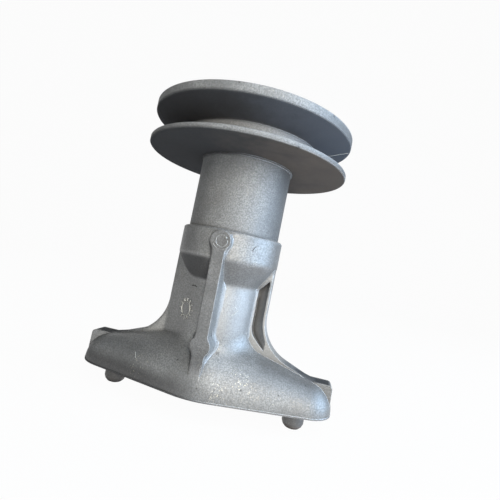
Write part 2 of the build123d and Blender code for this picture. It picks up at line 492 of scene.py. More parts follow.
class Spot(Effect):
    """A small ragged mark at one place."""

    RAGGED_SCALE = 2500.0
    RAGGED = Ramp(0.3, 0.7, -0.4, 0.4)
    FADE = Ramp(1.0, 0.5)

    def __init__(self) -> None:
        """Build the group."""
        inputs = {"Place": Vector((0.0, 0.0, 0.0)), "Reach": 0.5 * MM}
        super().__init__("spot", inputs, {"Mask": "NodeSocketFloat"})
        graph = self.graph
        where = graph.add("ShaderNodeTexCoord").outputs["Object"]
        gap = graph.add("ShaderNodeVectorMath", {0: where, 1: self.given["Place"]}, operation="DISTANCE")
        share = graph.math("DIVIDE", gap.outputs["Value"], self.given["Reach"])
        ragged = graph.math("ADD", share, graph.span(graph.noise(where, self.RAGGED_SCALE), self.RAGGED))
        self.give({"Mask": graph.span(ragged, self.FADE)})


@dataclass(frozen=True)
class Effects:
    """The node groups that the cast finishes share."""

    grain: CastGrain = field(default_factory=CastGrain)
    edge: SoftEdge = field(default_factory=SoftEdge)
    residue_shade_and_light: ResidueShadeAndLight = field(default_factory=ResidueShadeAndLight)
    spot: Spot = field(default_factory=Spot)


@dataclass(frozen=True)
class Mark:
    """One mark on the casting: a dark pit in its skin, or a patch of painted glints.

    Args:
        place: Where it is, in millimetres.
        reach: How far it spreads, in millimetres.
    """

    place: Place
    reach: float


# Patches of painted glints on the foot: there the grain's bright specks take the glint colour.
GLINTS = (
    Mark((11.8, -20.9, 2.8), 5.0),
    Mark((18.0, -16.5, 9.8), 4.8),
    Mark((-24.0, -16.3, 6.3), 5.0),
)
PITS = (
    Mark((-8.2, -18.3, 12.2), 0.5),
    Mark((2.35, -22.3, 4.9), 0.45),
    Mark((18.2, -18.0, 6.7), 0.5),
    Mark((6.2, -15.2, 17.4), 0.9),
    Mark((32.3, -13.9, 7.0), 0.4),
    Mark((42.0, -7.35, 11.1), 0.4),
    Mark((22.7, -35.6, 95.4), 0.8),
    Mark((32.6, -27.1, 111.5), 0.7),
    Mark((0.0, -42.4, 111.9), 0.6),
    Mark((-18.2, -26.4, 105.5), 1.1),
    Mark((-16.3, -34.5, 107.5), 0.6),
)


def new_material(name: str) -> tuple[bpy.types.Material, Graph]:
    """Start a material.

    Args:
        name: Its name.

    Returns:
        The material and its empty graph.
    """
    material = bpy.data.materials.new(name)
    material.use_nodes = True
    return material, Graph(material.node_tree)


@dataclass(frozen=True)
class CastFinish:
    """Die-cast aluminium, blasted and a little dull from handling.

    The shares say how far each layer covers what lies under it, where it is strongest. Many layers are
    painted shade or painted light, not marks of the metal.
    """

    name: str
    tone: Colour = (0.42, 0.423, 0.42)
    shade: Colour = (0.22, 0.22, 0.218)
    # Dark colour of the pores and pits in the skin; most layers that use it are painted shade.
    grime_and_shade: Colour = (0.045, 0.043, 0.044)
    # Painted warm bounce light on the undersides, strongest towards +X.
    warm_bounce: Colour = (0.16, 0.128, 0.105)
    # The same painted bounce light, darker and bluer, on the undersides in the belt groove.
    groove_bounce: Colour = (0.102, 0.108, 0.125)
    # Browner grey laid in deep hollows: dust, and painted shade.
    dust_and_shade: Colour = (0.36, 0.33, 0.305)
    # Painted light on the front face of the wings' plate.
    plate_light: Colour = (0.78, 0.74, 0.68)
    # Near white: painted highlight on the core, and rubbed wear with a painted highlight on the edges turned
    # right.
    edge: Colour = (0.92, 0.93, 0.95)
    # Painted glint colour, laid on the grain's bright specks everywhere and, strongest, in the glint patches.
    glint: Colour = (0.97, 0.91, 0.74)
    grain_share: float = 0.75
    core_light_share: float = 0.14
    rib_shade_share: float = 0.25
    speck_share: float = 0.26
    pore_share: float = 0.35
    dust_and_shade_share: float = 0.5
    side_shade_share: float = 0.36
    low_shade_share: float = 0.72
    shelter_shade_share: float = 0.72
    below_shade_share: float = 0.95
    above_shade_share: float = 0.85
    pit_share: float = 0.55
    glint_share: float = 0.85
    corner_shade_share: float = 0.55
    lee_shade_share: float = 0.75
    mottle: Ramp = Ramp(0.3, 0.7, 0.45, 1.0)
    grain: Ramp = Ramp(0.38, 0.62)
    wear: Ramp = Ramp(0.4, 0.6, 0.35, 0.9)
    metallic: float = 0.6
    dull_dust: float = 0.7
    dull_upper: float = 0.3
    roughness: Ramp = Ramp(0.3, 0.7, 0.43, 0.55)
    smooth_speck: float = 0.3
    rough_level: float = 0.45
    rough_upper: float = 0.14
    specular: float = 0.25
    grain_scale: float = 1800.0
    mottle_scale: float = 90.0
    grain_depth: float = 0.14 * MM
    grain_strength: float = 0.6
    edge_radius: float = 0.35 * MM
    blend_radius: float = 2.5 * MM
    corner_reach: float = 2 * MM
    hollow_depth: float = 12 * MM

    def material(self, effects: Effects) -> bpy.types.Material:
        """Build the material.

        Args:
            effects: The node groups to build it from.

        Returns:
            The new material.
        """
        material, graph = new_material(self.name)
        scales = {"Grain Scale": self.grain_scale, "Mottle Scale": self.mottle_scale}
        cast = effects.grain.use(graph, scales)
        rim = effects.edge.use(graph, {"Radius": self.edge_radius})
        broad = effects.edge.use(graph, {"Radius": self.blend_radius})
        reaches = {"Reach": self.corner_reach, "Depth": self.hollow_depth, "Facing": broad["Normal"]}
        dirt_shade_and_light = effects.residue_shade_and_light.use(graph, reaches)
        level = graph.largest(dirt_shade_and_light["BelowShade"], dirt_shade_and_light["AboveShade"])
        dusty = graph.times(dirt_shade_and_light["DustAndShade"], self.dull_dust)
        dull = graph.largest(level, dusty, graph.times(dirt_shade_and_light["Upper"], self.dull_upper))
        rough = graph.span(cast["Mottle"], self.roughness)
        rough = graph.math("SUBTRACT", rough, graph.times(cast["Speck"], self.smooth_speck))
        rough = graph.math("ADD", rough, graph.times(level, self.rough_level))
        rough = graph.math("ADD", rough, graph.times(dirt_shade_and_light["Upper"], self.rough_upper))
        skin = {
            "Strength": self.grain_strength,
            "Distance": self.grain_depth,
            "Height": cast["Height"],
            "Normal": graph.blend(dirt_shade_and_light["Waist"], rim["Normal"], broad["Normal"], Mix.VECTOR),
        }
        feeds = {
            "Base Color": self._colour(graph, effects.spot, cast, rim, dirt_shade_and_light),
            "Metallic": graph.times(graph.math("SUBTRACT", 1.0, dull), self.metallic),
            "Roughness": rough,
            "Specular IOR Level": self.specular,
            "Normal": graph.add("ShaderNodeBump", skin).outputs["Normal"],
        }
        shader = graph.add("ShaderNodeBsdfPrincipled", feeds)
        graph.add("ShaderNodeOutputMaterial", {"Surface": shader.outputs["BSDF"]})
        return material

    def _colour(
        self,
        graph: Graph,
        spot: Spot,
        cast: bpy.types.NodeOutputs,
        rim: bpy.types.NodeOutputs,
        dirt_shade_and_light: bpy.types.NodeOutputs,
    ) -> Feed:
        """Lay the metal's colour and all that lies on it, painted shade and painted light among it, the
        lowest layer first.

        Args:
            graph: The material's graph.
            spot: The effect that draws one mark.
            cast: Outputs of the grain.
            rim: Outputs of the narrow edges.
            dirt_shade_and_light: Outputs of the masks of dust, painted shade and painted light.

        Returns:
            The colour.
        """
        # Downward faces: painted shade, with painted warm bounce light growing towards +X and a bluer one in
        # the groove.
        bounce_tint = graph.blend(dirt_shade_and_light["Groove"], self.warm_bounce, self.groove_bounce)
        lower = graph.blend(dirt_shade_and_light["WarmBounce"], self.grime_and_shade, bounce_tint)
        # rubbed wear with a painted highlight on the edges turned right, ragged by the grain
        worn_and_lit = graph.times(rim["RubbedLitEdge"], graph.span(cast["Height"], self.wear))
        # painted glints: the grain's bright specks in the glint patches
        painted_glints = graph.times(self._marks(graph, spot, GLINTS), cast["Speck"])
        layers: list[tuple[Feed, float, Feed]] = [
            (graph.span(cast["Height"], self.grain), self.grain_share, self.shade),
            # painted highlight on the core, right of the rib
            (dirt_shade_and_light["CoreLight"], self.core_light_share, self.edge),
            # painted shade on the rib's front face, strongest near its foot
            (dirt_shade_and_light["RibShade"], self.rib_shade_share, self.grime_and_shade),
            # painted light on the front face of the wings' plate
            (dirt_shade_and_light["PlateLight"], 1.0, self.plate_light),
            # the grain's bright specks, tinted as painted glints
            (cast["Speck"], self.speck_share, self.glint),
            (cast["Pore"], self.pore_share, self.grime_and_shade),
            # dust and painted shade in deep hollows
            (dirt_shade_and_light["DustAndShade"], self.dust_and_shade_share, self.dust_and_shade),
            # painted shade on faces turned aside and on the wings towards their ends
            (dirt_shade_and_light["Side"], self.side_shade_share, self.grime_and_shade),
            # painted shade: darker towards the bottom of the foot, more to the left, and on the pegs
            (dirt_shade_and_light["LowShade"], self.low_shade_share, self.grime_and_shade),
            # painted shade on the downward faces turned left
            (dirt_shade_and_light["ShelterShade"], self.shelter_shade_share, self.grime_and_shade),
            # painted shade on the faces that look down
            (dirt_shade_and_light["BelowShade"], self.below_shade_share, lower),
            # painted shade on the level faces that look up, low on the casting
            (dirt_shade_and_light["AboveShade"], self.above_shade_share, self.grime_and_shade),
            # painted shade: corners within a short reach darken
            (dirt_shade_and_light["CornerShade"], self.corner_shade_share, self.grime_and_shade),
            # rubbed wear with a painted highlight on the edges turned right
            (worn_and_lit, 1.0, self.edge),
            # painted shade on the edges turned left
            (rim["LeeShade"], self.lee_shade_share, self.grime_and_shade),
            (self._marks(graph, spot, PITS), self.pit_share, self.grime_and_shade),
            # painted glints in the glint patches
            (painted_glints, self.glint_share, self.glint),
        ]
        colour = graph.blend(graph.span(cast["Mottle"], self.mottle), self.shade, self.tone)
        for mask, share, over in layers:
            colour = graph.blend(graph.times(mask, share), colour, over)
        return colour

    @staticmethod
    def _marks(graph: Graph, spot: Spot, marks: Sequence[Mark]) -> Feed:
        """Draw several marks and join their masks into one."""
        places = [{"Place": Vector(mark.place) * MM, "Reach": mark.reach * MM} for mark in marks]
        return graph.largest(*[spot.use(graph, feeds)["Mask"] for feeds in places])


CAST = CastFinish("cast_aluminium")
ROUNDED = CastFinish("rounded_aluminium", blend_radius=0.35 * MM)
RUBBED = CastFinish(
    "rubbed_aluminium",
    tone=(0.72, 0.72, 0.67),
    shade=(0.55, 0.55, 0.51),
    corner_shade_share=0.0,
    lee_shade_share=0.1,
)
PRINTED = CastFinish(
    "printed_aluminium",
    tone=(0.6, 0.6, 0.59),
    shade=(0.48, 0.48, 0.47),
    corner_shade_share=0.1,
    lee_shade_share=0.5,
)
# Very dark finish of the dark lines on the panel and the collar.
DARK_LINE_FINISH = CastFinish("dark_line_aluminium", tone=(0.09, 0.088, 0.085), shade=(0.06, 0.058, 0.056))


@dataclass(frozen=True)
class PaperFinish:
    """White background paper that shows white to the camera, keeps a soft shadow and is clear from behind."""

    name: str
    paper: Colour = (0.76, 0.76, 0.76)
    light: Colour = (1.0, 1.0, 1.0)
    glow: float = 0.965

    def material(self) -> bpy.types.Material:
        """Build the material.

        Returns:
            The new material.
        """
        material, graph = new_material(self.name)
        path = graph.add("ShaderNodeLightPath").outputs
        seen = graph.largest(*[path[ray.value] for ray in Ray])
        sheet = graph.add("ShaderNodeBsdfDiffuse", {"Color": self.paper})
        light = graph.add("ShaderNodeEmission", {"Color": self.light, "Strength": 1.0})
        share = graph.times(seen, self.glow)
        mixed = graph.add("ShaderNodeMixShader", {0: share, 1: sheet.outputs[0], 2: light.outputs[0]})
        behind = graph.add("ShaderNodeNewGeometry").outputs["Backfacing"]
        clear = graph.add("ShaderNodeBsdfTransparent")
        through = graph.times(behind, path[Ray.CAMERA.value])
        shown = graph.add("ShaderNodeMixShader", {0: through, 1: mixed.outputs[0], 2: clear.outputs[0]})
        graph.add("ShaderNodeOutputMaterial", {"Surface": shown.outputs[0]})
        return material


def steps_between(start: float, end: float, steps: int) -> list[float]:
    """Divide a range into even steps; both its ends are among the values."""
    return [start + (end - start) * step / steps for step in range(steps + 1)]


def bow(first: Vector, corner: Vector, last: Vector, share: float) -> Vector:
    """Find a point on the curve that rounds off a corner, at a share from 0 to 1 of its way."""
    return first * (1.0 - share) ** 2 + corner * (2.0 * share * (1.0 - share)) + last * share**2


def tube_faces(rows: int, sides: int, ring: bool = False) -> Faces:
    """List the faces of a closed tube.

    Args:
        rows: Number of sections along it.
        sides: Number of points in a section.
        ring: Whether it closes on itself; otherwise both ends are capped.

    Returns:
        The faces, as numbers of points.
    """
    faces: Faces = []
    for row in range(rows if ring else rows - 1):
        first = row * sides
        second = (row + 1) % rows * sides
        for side in range(sides):
            turn = (side + 1) % sides
            faces.append((first + side, first + turn, second + turn, second + side))
    if not ring:
        faces.append(tuple(range(sides - 1, -1, -1)))
        faces.append(tuple(range((rows - 1) * sides, rows * sides)))
    return faces


def put_in_scene(name: str, data: bpy.types.ID) -> bpy.types.Object:
    """Put a new object in the scene.

    Args:
        name: Its name.
        data: Its mesh, lamp or lens.

    Returns:
        The object.
    """
    thing = bpy.data.objects.new(name, data)
    bpy.context.scene.collection.objects.link(thing)
    return thing


@dataclass(frozen=True)
class Face:
    """A flat place on the skin."""

    centre: Vector
    normal: Vector

    def at(self, radius: float, turn: float) -> Vector:
        """Find a point on the face.

        Args:
            radius: Distance from the centre.
            turn: Angle from the way up, in radians.

        Returns:
            The point.
        """
        side = UP.cross(self.normal).normalized()
        up = self.normal.cross(side)
        return self.centre + (side * sin(turn) + up * cos(turn)) * radius

    def arc(self, radius: float, start: float, end: float, steps: int) -> list[Vector]:
        """Lay points along an arc about the centre, from one angle to another."""
        return [self.at(radius, turn) for turn in steps_between(start, end, steps)]


@dataclass
class Casting:
    """The casting itself, as packed."""

    scan_gap: float = 10 * MM

    def __post_init__(self) -> None:
        """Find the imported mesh."""
        self.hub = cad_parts[HUB]

    def dress(self, material: bpy.types.Material) -> bpy.types.Object:
        """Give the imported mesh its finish.

        Args:
            material: The cast finish.

        Returns:
            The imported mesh's object.
        """
        self.hub.data.materials.clear()
        self.hub.data.materials.append(material)
        return self.hub

    def seat(self, x: float, z: float) -> tuple[Vector, Vector]:
        """Find the skin at one place on the front.

        Args:
            x: Place along the wings, in millimetres.
            z: Height, in millimetres.

        Returns:
            The point on the skin and the skin's normal there.
        """
        start = Vector((x * MM, CAD_BOUNDS[0][1] - self.scan_gap, z * MM))
        found, place, normal, _ = self.hub.ray_cast(start, INTO)
        if not found:
            raise ValueError(f"no skin at x {x}, z {z}")
        return place, normal


@dataclass
class Ridge:
    """A low rounded ridge that runs along a line on the skin, its lower part sunk in it."""

    width: float
    height: float
    sunk: float = 0.2 * MM
    shoulder: float = 0.25
    crown: float = 0.55

    def section(self) -> list[tuple[float, float]]:
        """List the ridge's section.

        Returns:
            How far to the side and how far out of the skin, for each point.
        """
        half = 0.5 * self.width
        shoulder = self.shoulder * self.height
        crown = self.crown * half
        return [
            (-half, -self.sunk),
            (-half, shoulder),
            (-crown, self.height),
            (crown, self.height),
            (half, shoulder),
            (half, -self.sunk),
        ]

    def strands(self, line: Sequence[Vector], normals: Sequence[Vector], ring: bool = False) -> Form:
        """Sweep the section along a line.

        Args:
            line: Points on the skin.
            normals: The skin's normals at them.
            ring: Whether the line closes on itself.

        Returns:
            Points and faces.
        """
        section = self.section()
        count = len(line)
        points: list[Vector] = []
        for index, (place, normal) in enumerate(zip(line, normals)):
            before = line[index - 1] if ring or index else place
            after = line[(index + 1) % count] if ring or index + 1 < count else place
            along = (after - before).normalized()
            across = along.cross(normal).normalized()
            points += [place + across * side + normal * out for side, out in section]
        return points, tube_faces(count, len(section), ring)


@dataclass
class Detail:
    """Low relief on the casting, built as one closed piece or several in one mesh."""

    name: str
    points: list[Vector] = field(default_factory=list)
    faces: Faces = field(default_factory=list)

    def take(self, points: list[Vector], faces: Faces) -> None:
        """Take in one closed form.

        Args:
            points: Its points.
            faces: Its faces, as numbers of its own points.
        """
        start = len(self.points)
        self.points += points
        self.faces += [tuple(start + corner for corner in face) for face in faces]

    def finish(self, material: bpy.types.Material) -> bpy.types.Object:
        """Make the piece and fix it to the casting.

        Args:
            material: Its finish.

        Returns:
            The piece's object.
        """
        mesh = bpy.data.meshes.new(self.name)
        mesh.from_pydata(self.points, [], self.faces)
        mesh.validate()
        mesh.materials.append(material)
        piece = put_in_scene(self.name, mesh)
        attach(piece, BODY)
        return piece


@dataclass
class DateDial:
    """Mould dial on the front panel: a ring with twelve strokes round it. Its place is in millimetres."""

    casting: Casting
    x: float = -11.2
    z: float = 31.0
    ring_radius: float = 2.75 * MM
    ring_width: float = 0.5 * MM
    stroke_start: float = 3.15 * MM
    stroke_end: float = 4.35 * MM
    stroke_width: float = 0.6 * MM
    relief: float = 0.28 * MM
    strokes: int = 12
    ring_steps: int = 48

    def build(self, material: bpy.types.Material) -> bpy.types.Object:
        """Build the dial on the panel.

        Args:
            material: Its finish.

        Returns:
            The dial's object.
        """
        face = Face(*self.casting.seat(self.x, self.z))
        dial = Detail("date_dial")
        ring = face.arc(self.ring_radius, 0.0, 2 * pi, self.ring_steps)[:-1]
        ridge = Ridge(self.ring_width, self.relief)
        dial.take(*ridge.strands(ring, [face.normal] * len(ring), True))
        stroke = Ridge(self.stroke_width, self.relief)
        for number in range(self.strokes):
            turn = 2 * pi * number / self.strokes
            line = [face.at(self.stroke_start, turn), face.at(self.stroke_end, turn)]
            dial.take(*stroke.strands(line, [face.normal] * len(line)))
        return dial.finish(material)


@dataclass
class EjectorMark:
    """Print of the ejector pin on the rib's upper pad: a low ring with a gap, an outer edge and a nib.

    Its place is in millimetres.
    """

    casting: Casting
    x: float = 0.5
    z: float = 60.4
    steps: int = 40
    radius: float = 2.25 * MM
    start: float = radians(75)
    end: float = radians(380)
    width: float = 0.45 * MM
    height: float = 0.2 * MM
    outer_radius: float = 3.3 * MM
    outer_start: float = radians(125)
    outer_end: float = radians(245)
    outer_width: float = 0.3 * MM
    outer_height: float = 0.08 * MM
    nib_turn: float = radians(46)
    nib_place: float = 2.0 * MM
    nib_radius: float = 0.5 * MM
    nib_rows: int = 6
    nib_sides: int = 10

    def build(self, material: bpy.types.Material, bright: bpy.types.Material) -> list[bpy.types.Object]:
        """Build the print on the pad.

        Args:
            material: Finish of the ring and of its outer edge.
            bright: The nib's finish.

        Returns:
            The objects of the ring, its outer edge and the nib.
        """
        face = Face(*self.casting.seat(self.x, self.z))
        line = face.arc(self.radius, self.start, self.end, self.steps)
        mark = Detail("ejector_mark")
        mark.take(*Ridge(self.width, self.height).strands(line, [face.normal] * len(line)))
        line = face.arc(self.outer_radius, self.outer_start, self.outer_end, self.steps)
        outer = Detail("ejector_edge")
        outer.take(*Ridge(self.outer_width, self.outer_height).strands(line, [face.normal] * len(line)))
        nib = Detail("ejector_nib")
        nib.take(*self.ball(face.at(self.nib_place, self.nib_turn)))
        return [mark.finish(material), outer.finish(material), nib.finish(bright)]

    def ball(self, centre: Vector) -> Form:
        """Build the little nib in the ring's gap as a ball, half of it sunk in the pad.

        Args:
            centre: Point on the pad.

        Returns:
            Points and faces.
        """
        points = [centre - UP * self.nib_radius]
        for row in range(1, self.nib_rows):
            tilt = pi * row / self.nib_rows
            for step in range(self.nib_sides):
                turn = 2 * pi * step / self.nib_sides
                ring = Vector((cos(turn) * sin(tilt), sin(turn) * sin(tilt), -cos(tilt)))
                points.append(centre + ring * self.nib_radius)
        points.append(centre + UP * self.nib_radius)
        faces: Faces = []
        last = len(points) - 1
        top = last - self.nib_sides
        for step in range(self.nib_sides):
            after = (step + 1) % self.nib_sides
            faces.append((0, 1 + after, 1 + step))
            faces.append((last, top + step, top + after))
            for row in range(self.nib_rows - 2):
                low = 1 + row * self.nib_sides
                high = low + self.nib_sides
                faces.append((low + step, low + after, high + after, high + step))
        return points, faces


@dataclass
class CastLines:
    """Short raised lines that the mould left on the skin, each a row of X and Z in millimetres."""

    casting: Casting
    name: str
    runs: tuple[tuple[tuple[float, float], ...], ...]
    width: float = 0.35 * MM
    height: float = 0.12 * MM

    def build(self, material: bpy.types.Material) -> bpy.types.Object:
        """Build the lines on the skin.

        Args:
            material: Their finish.

        Returns:
            The lines' object.
        """
        lines = Detail(self.name)
        ridge = Ridge(self.width, self.height)
        for run in self.runs:
            places, normals = zip(*[self.casting.seat(x, z) for x, z in run])
            lines.take(*ridge.strands(places, normals))
        return lines.finish(material)


BRIGHT_LINES = (
    ((-27.4, 9.9), (-26.8, 8.9), (-26.2, 7.9)),
    ((8.25, 32.25), (9.4, 33.6), (10.45, 34.9)),
    ((8.6, 36.1), (9.45, 35.45)),
    ((13.1, 54.2), (14.4, 55.0)),
)
DARK_LINES = (
    ((-10.5, 40.66), (-9.5, 41.05), (-8.6, 41.0), (-7.8, 40.6)),
    ((12.0, 59.0), (12.4, 60.05), (13.15, 61.0)),
)


@dataclass
class RootRound:
    """Hollow round in the corner between two walls of the casting that meet along a steep line.

    Args:
        casting: The casting that it lies on.
        name: Name of the piece.
        low: Height of its lower end, in millimetres.
        high: Height of its upper end, in millimetres.
        start: X at which the scan across the corner starts, in millimetres.
        end: X at which the scan ends, in millimetres.
        radius: How far it runs back along the first wall.
        reach: How far it runs on along the second wall.
        stations: Number of sections along it.
        passes: How often the row of sections is evened out.
        scan_step: Step of the scan, in millimetres.
        arc_steps: Number of steps round a section.
        sunk: How far the hollow face lies in the skin at its edges.
        depth: Share of the radius that the back lies behind the corner.
        low_size: Size of the lower end, as a share of the full one.
        low_growth: How fast the lower end grows to the full size.
        high_size: Size of the upper end, as a share of the full one.
        high_growth: How fast the upper end grows to the full size.
    """

    casting: Casting
    name: str
    low: float
    high: float
    start: float
    end: float
    radius: float
    reach: float
    stations: int = 40
    passes: int = 4
    scan_step: float = 0.06
    arc_steps: int = 6
    sunk: float = 0.03 * MM
    depth: float = 0.5
    low_size: float = 0.2
    low_growth: float = 6.0
    high_size: float = 0.25
    high_growth: float = 9.0

    def corner(self, z: float) -> tuple[Vector, Vector, Vector]:
        """Find the corner at one height by scanning the skin across it.

        Args:
            z: Height, in millimetres.

        Returns:
            The corner, the way back along the first wall and the way on along the second.
        """
        count = int(abs(self.end - self.start) / self.scan_step)
        skin = [self.casting.seat(x, z)[0] for x in steps_between(self.start, self.end, count)]
        bends = [skin[i + 1].y - 2.0 * skin[i].y + skin[i - 1].y for i in range(1, count)]
        turn = bends.index(min(bends)) + 1
        corner = skin[turn]
        behind = reversed(skin[:turn])
        back = next((point for point in behind if (point - corner).length > self.radius), skin[0])
        ahead = next((point for point in skin[turn:] if (point - corner).length > self.reach), skin[-1])
        return corner, (back - corner).normalized(), (ahead - corner).normalized()

    def evened(self, row: list[Vector]) -> list[Vector]:
        """Even out a row of points or directions.

        Args:
            row: One for each station.

        Returns:
            The evened row, its ends as they were.
        """
        for _ in range(self.passes):
            middle = [(a + 2.0 * b + c) / 4.0 for a, b, c in zip(row, row[1:], row[2:])]
            row = [row[0], *middle, row[-1]]
        return row

    def size(self, share: float) -> float:
        """Find the size of a section.

        Args:
            share: How far up the round it is, from 0 to 1.

        Returns:
            Its size, as a share of the full one.
        """
        lower = self.low_growth * share + self.low_size
        upper = self.high_growth * (1.0 - share) + self.high_size
        return min(1.0, lower, upper)

    def build(self, material: bpy.types.Material) -> bpy.types.Object:
        """Build the round.

        Args:
            material: Its finish.

        Returns:
            The round's object.
        """
        points: list[Vector] = []
        shares = steps_between(0.0, 1.0, self.stations - 1)
        scanned = [self.corner(self.low + (self.high - self.low) * share) for share in shares]
        corners, outs, alongs = (self.evened(list(row)) for row in zip(*scanned))
        for share, corner, out, along in zip(shares, corners, outs, alongs):
            inner = (out + along).normalized() * -1.0
            radius = self.radius * self.size(share)
            first = corner + out * radius
            last = corner + along * self.reach * self.size(share)
            for part in steps_between(0.0, 1.0, self.arc_steps):
                points.append(bow(first, corner, last, part) + inner * self.sunk)
            points.append(corner + inner * radius * self.depth)
        faces = tube_faces(self.stations, self.arc_steps + 2)
        if self.end < self.start:
            faces = [tuple(reversed(face)) for face in faces]
        root = Detail(self.name)
        root.take(points, faces)
        return root.finish(material)


@dataclass
class WallRoots:
    """The hollow rounds at the roots of the rib, of its upper pad and of the web."""

    casting: Casting

    def __post_init__(self) -> None:
        """Lay out the rounds."""
        self.rib_right = RootRound(
            self.casting,
            "rib_root_right",
            low=13.0,
            high=45.0,
            start=1.0,
            end=8.0,
            radius=1.9 * MM,
            reach=1.5 * MM,
        )
        self.pad_right = RootRound(
            self.casting,
            "pad_root_right",
            low=53.8,
            high=64.5,
            start=2.0,
            end=8.0,
            radius=0.9 * MM,
            reach=0.9 * MM,
            stations=30,
        )
        self.rib_left = RootRound(
            self.casting,
            "rib_root_left",
            low=17.0,
            high=62.0,
            start=-1.0,
            end=-9.0,
            radius=1.2 * MM,
            reach=1.2 * MM,
        )
        self.web = RootRound(
            self.casting,
            "web_root",
            low=22.5,
            high=44.3,
            start=12.5,
            end=15.95,
            radius=1.9 * MM,
            reach=0.8 * MM,
        )

    def build(self, cast: bpy.types.Material, rounded: bpy.types.Material) -> list[bpy.types.Object]:
        """Build the rounds.

        Args:
            cast: Finish of the casting itself.
            rounded: Finish of small round pieces.

        Returns:
            The rounds' objects.
        """
        return [
            self.rib_right.build(rounded),
            self.pad_right.build(rounded),
            self.rib_left.build(cast),
            self.web.build(rounded),
        ]


@dataclass
class RibToe:
    """Soft toe where the long rib's front runs out on the foot.

    Args:
        casting: The casting that it lies on.
        half_width: Half its width, in millimetres.
        above: How far it runs up from the crease, in millimetres.
        below: How far it runs down from the crease, in millimetres.
        columns: Number of points across it.
        rows: Number of points down it.
        sunk: Its thickness.
        bury: How far it lies in the skin where it doesn't rise above it.
        touch: Rise that still counts as none.
        fade_power: How late the rise fades out towards the sides.
        scan_top: Height at which the search for the crease starts, in millimetres.
        scan_bottom: Height at which the search ends, in millimetres.
        scan_step: Step of the search, in millimetres.
        foot_lean: Lean of the skin that tells the foot from the rib.
    """

    casting: Casting
    half_width: float = 2.6
    above: float = 5.0
    below: float = 3.2
    columns: int = 9
    rows: int = 13
    sunk: float = 0.5 * MM
    bury: float = 0.05 * MM
    touch: float = 0.001 * MM
    fade_power: int = 4
    scan_top: float = 20.0
    scan_bottom: float = 2.0
    scan_step: float = 0.1
    foot_lean: float = 0.15

    def crease(self, x: float) -> float:
        """Find the height at which the rib's front meets the foot.

        Args:
            x: Place across the rib, in millimetres.

        Returns:
            The height, in millimetres.
        """
        height = self.scan_top
        while height > self.scan_bottom and self.casting.seat(x, height)[1].z < self.foot_lean:
            height -= self.scan_step
        return height

    def top(self) -> list[Vector]:
        """Lay the toe's upper face, column by column.

        Returns:
            Its points.
        """
        middle = self.crease(0.0)
        heights = (middle + self.above, middle, middle - self.below)
        points: list[Vector] = []
        for column in range(self.columns):
            part = 2.0 * column / (self.columns - 1) - 1.0
            x = part * self.half_width
            upper, corner, lower = (self.casting.seat(x, z)[0] for z in heights)
            fade = max(0.0, 1.0 - abs(part) ** self.fade_power)
            for share in steps_between(0.0, 1.0, self.rows - 1):
                curve = bow(upper, corner, lower, share)
                skin = self.casting.seat(x, curve.z / MM)[0]
                lift = max(0.0, skin.y - curve.y) * fade
                bury = self.bury if lift < self.touch else 0.0
                points.append(Vector((curve.x, skin.y - lift + bury, curve.z)))
        return points

    def build(self, material: bpy.types.Material) -> bpy.types.Object:
        """Build the toe.

        Args:
            material: Its finish.

        Returns:
            The toe's object.
        """
        top = self.top()
        base = [point + INTO * self.sunk for point in top]
        rows = self.rows
        count = len(top)
        faces: Faces = []
        for column in range(self.columns - 1):
            for row in range(rows - 1):
                one = column * rows + row
                two = one + rows
                faces.append((one, one + 1, two + 1, two))
                faces.append((count + two, count + two + 1, count + one + 1, count + one))
        border = [
            *range(rows - 1),
            *range(rows - 1, count - 1, rows),
            *range(count - 1, count - rows, -1),
            *range(count - rows, 0, -rows),
        ]
        for one, two in zip(border, border[1:] + border[:1]):
            faces.append((count + one, count + two, two, one))
        toe = Detail("rib_toe")
        toe.take(top + base, faces)
        return toe.finish(material)


@dataclass
class PartingFlash:
    """Thin flash where the mould halves meet, across the upper side of the belt groove.

    Args:
        casting: The casting that it lies on.
        y: Place across the wings, in millimetres.
        inner: X of its inner end, in millimetres.
        outer: X of its outer end, in millimetres.
        below: Height in the open groove from which the skin is sought, in millimetres.
        steps: Number of steps along it.
        width: Its width.
        height: Its height.
    """

    casting: Casting
    y: float = 0.0
    inner: float = 30.0
    outer: float = 41.6
    below: float = 103.0
    steps: int = 6
    width: float = 0.3 * MM
    height: float = 0.2 * MM

    def build(self, material: bpy.types.Material) -> bpy.types.Object:
        """Build the flash on the groove's upper side.

        Args:
            material: Its finish.

        Returns:
            The flash's object.
        """
        line: list[Vector] = []
        normals: list[Vector] = []
        for x in steps_between(self.inner, self.outer, self.steps):
            start = Vector((x, self.y, self.below)) * MM
            _, place, normal, _ = self.casting.hub.ray_cast(start, UP)
            line.append(place)
            normals.append(normal)
        flash = Detail("parting_flash")
        flash.take(*Ridge(self.width, self.height).strands(line, normals))
        return flash.finish(material)


@dataclass(frozen=True)
class Softbox:
    """One soft lamp that looks at the middle of the hub. Its angles are in degrees."""

    name: str
    azimuth: float
    elevation: float
    width: float
    watts: float
    colour: Colour
    distance: float = 0.8
    height: float = 0.5

    def build(self, aim: Vector) -> bpy.types.Object:
        """Place the lamp.

        Args:
            aim: Point that it looks at.

        Returns:
            The lamp's object.
        """
        lamp = bpy.data.lights.new(self.name, "AREA")
        lamp.shape = "RECTANGLE"
        lamp.size = self.width
        lamp.size_y = self.height
        lamp.energy = self.watts
        lamp.color = self.colour
        holder = put_in_scene(self.name, lamp)
        turn = radians(self.azimuth)
        level = cos(radians(self.elevation))
        away = Vector((sin(turn) * level, -cos(turn) * level, sin(radians(self.elevation))))
        holder.location = aim + away * self.distance
        holder.rotation_euler = (-away).to_track_quat("-Z", "Y").to_euler()
        holder.visible_camera = False
        return holder


